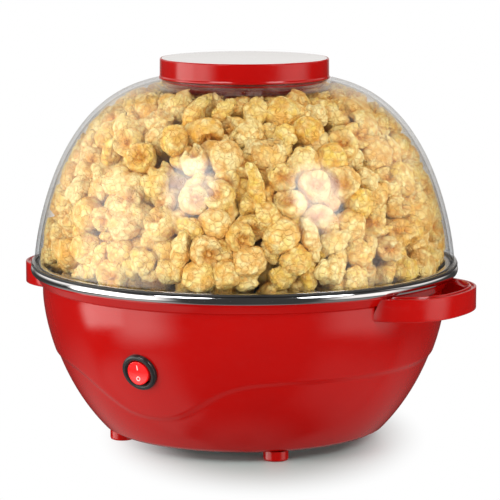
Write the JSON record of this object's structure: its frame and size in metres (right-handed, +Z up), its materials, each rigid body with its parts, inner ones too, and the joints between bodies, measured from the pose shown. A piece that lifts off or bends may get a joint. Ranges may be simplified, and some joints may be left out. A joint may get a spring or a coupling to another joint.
{
  "type": "popcorn maker",
  "caption": "Stirring popcorn maker: red bowl base with two loop handles and a rocker switch, chrome rim, clear dome cover and a red plug cap; motor-driven stirring rod over a heated pan.",
  "frame": {"origin": "on the surface under the feet, below the stirring shaft", "axes": "+Z up along the stirring shaft, -Y towards the switch side, the two handles along X"},
  "size_m": [0.326, 0.284, 0.2524],
  "materials": {
    "red_plastic": "high-gloss moulded plastic",
    "clear_plastic": "clear polished plastic",
    "chrome": "polished",
    "black_rubber": "matte silicone",
    "nonstick": "satin non-stick coating",
    "steel": "brushed",
    "heater_sheath": "heat-stained",
    "ceramic_white": "matte",
    "brass": "turned",
    "aluminium": "rolled sheet",
    "black_plastic": "gloss",
    "grey_plastic": "matte",
    "gear_nylon": "matte",
    "copper": "enamelled windings",
    "magnet": "sintered",
    "rocker_red": "translucent gloss",
    "wire_cover": "sleeved",
    "screw_steel": "zinc plated",
    "cap_white": "gloss"
  },
  "bodies": {
    "base": {"base_housing": "red_plastic", "bottom_cover": "black_plastic", "foot_front_left": "red_plastic", "foot_front_right": "red_plastic", "foot_rear_left": "red_plastic", "foot_rear_right": "red_plastic", "handle_left": "red_plastic", "handle_right": "red_plastic", "chrome_rim": "chrome", "rim_seal": "black_rubber", "heating_pan": "nonstick", "pan_brackets": "steel", "heating_element": "heater_sheath", "element_clips": "steel", "thermostat": "ceramic_white", "thermal_fuse": "brass", "heat_shield": "aluminium", "shaft_bush": "brass", "bush_nut": "brass", "shaft_seal": "black_rubber", "gearbox_case": "grey_plastic", "gearbox_cover": "grey_plastic", "motor_can": "steel", "stator_coil": "copper", "idler_pin": "steel", "switch_bezel": "black_plastic", "rocker_pin": "steel", "switch_terminals": "brass", "terminal_block": "ceramic_white", "cord_gland": "black_plastic", "wiring_loom": "wire_cover", "cover_screws": "screw_steel", "pan_screws": "screw_steel", "motor_screws": "screw_steel", "handle_screws": "screw_steel"},
    "dome": {"dome_lid": "clear_plastic"},
    "cap": {"lid_cap": "red_plastic", "cap_disc": "cap_white", "cap_seal": "black_rubber"},
    "stirrer": {"drive_shaft": "steel", "output_gear": "gear_nylon", "stirring_rod": "steel", "stirrer_hub": "black_plastic", "stirrer_nut": "steel"},
    "idler": {"idler_gear": "gear_nylon"},
    "rotor": {"motor_rotor": "magnet"},
    "rocker": {"switch_rocker": "rocker_red"}
  },
  "joints": [
    {"name": "dome_lift", "type": "slide", "parent": "base", "child": "dome", "axis": [0, 0, 1], "range_m": [0, 0.15]},
    {"name": "cap_lift", "type": "slide", "parent": "dome", "child": "cap", "axis": [0, 0, 1], "range_m": [0, 0.05]},
    {"name": "stirrer_spin", "type": "hinge", "parent": "base", "child": "stirrer", "pos_m": [0, 0, 0.07], "axis": [0, 0, 1], "continuous": true},
    {"name": "idler_spin", "type": "hinge", "parent": "base", "child": "idler", "pos_m": [0, 0.024, 0.035], "axis": [0, 0, 1], "continuous": true},
    {"name": "motor_spin", "type": "hinge", "parent": "base", "child": "rotor", "pos_m": [0, 0, 0.02], "axis": [0, 0, 1], "continuous": true},
    {"name": "rocker_tip", "type": "hinge", "parent": "base", "child": "rocker", "pos_m": [0, -0.12633, 0.06331], "axis": [1, 0, 0], "range_deg": [0, 14]}
  ],
  "couplings": [
    {"joint": "idler_spin", "follows": "stirrer_spin", "ratio": -4},
    {"joint": "motor_spin", "follows": "stirrer_spin", "ratio": 16}
  ]
}
